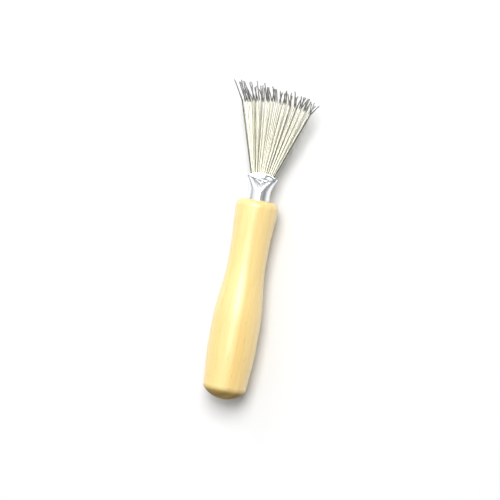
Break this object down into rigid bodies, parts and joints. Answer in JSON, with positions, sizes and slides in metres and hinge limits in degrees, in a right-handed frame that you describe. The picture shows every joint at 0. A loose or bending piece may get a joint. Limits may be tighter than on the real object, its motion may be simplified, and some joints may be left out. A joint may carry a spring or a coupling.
{
  "type": "wire hand rake",
  "caption": "Small hand rake with a turned wooden handle, a flattened metal ferrule and a fan of straight steel wires whose ends are bent to one side, for combing hair and lint out of brushes.",
  "frame": {"origin": "on the handle axis, at the middle of the straight land of the grip", "axes": "+X along the handle axis towards the wires, +Y across the fan, +Z the side the wire ends are bent to"},
  "size_m": [0.1328, 0.0373, 0.0204],
  "materials": {
    "handle": "clear gloss varnish",
    "ferrule": "bright, pressed",
    "adhesive": "cured resin",
    "wire": "bright drawn wire"
  },
  "bodies": {
    "root": {"adhesive_plug": "adhesive", "ferrule": "ferrule", "handle": "handle", "wire_row1_01": "wire", "wire_row1_02": "wire", "wire_row1_03": "wire", "wire_row1_04": "wire", "wire_row1_05": "wire", "wire_row1_06": "wire", "wire_row1_07": "wire", "wire_row1_08": "wire", "wire_row1_09": "wire", "wire_row1_10": "wire", "wire_row1_11": "wire", "wire_row1_12": "wire", "wire_row1_13": "wire", "wire_row1_14": "wire", "wire_row2_01": "wire", "wire_row2_02": "wire", "wire_row2_03": "wire", "wire_row2_04": "wire", "wire_row2_05": "wire", "wire_row2_06": "wire", "wire_row2_07": "wire", "wire_row2_08": "wire", "wire_row2_09": "wire", "wire_row2_10": "wire", "wire_row2_11": "wire", "wire_row2_12": "wire", "wire_row2_13": "wire", "wire_row3_01": "wire", "wire_row3_02": "wire", "wire_row3_03": "wire", "wire_row3_04": "wire", "wire_row3_05": "wire", "wire_row3_06": "wire", "wire_row3_07": "wire", "wire_row3_08": "wire", "wire_row3_09": "wire", "wire_row3_10": "wire", "wire_row3_11": "wire", "wire_row3_12": "wire", "wire_row3_13": "wire", "wire_row3_14": "wire", "wire_row4_01": "wire", "wire_row4_02": "wire", "wire_row4_03": "wire", "wire_row4_04": "wire", "wire_row4_05": "wire", "wire_row4_06": "wire", "wire_row4_07": "wire", "wire_row4_08": "wire", "wire_row4_09": "wire", "wire_row4_10": "wire", "wire_row4_11": "wire", "wire_row4_12": "wire", "wire_row4_13": "wire"}
  },
  "joints": []
}
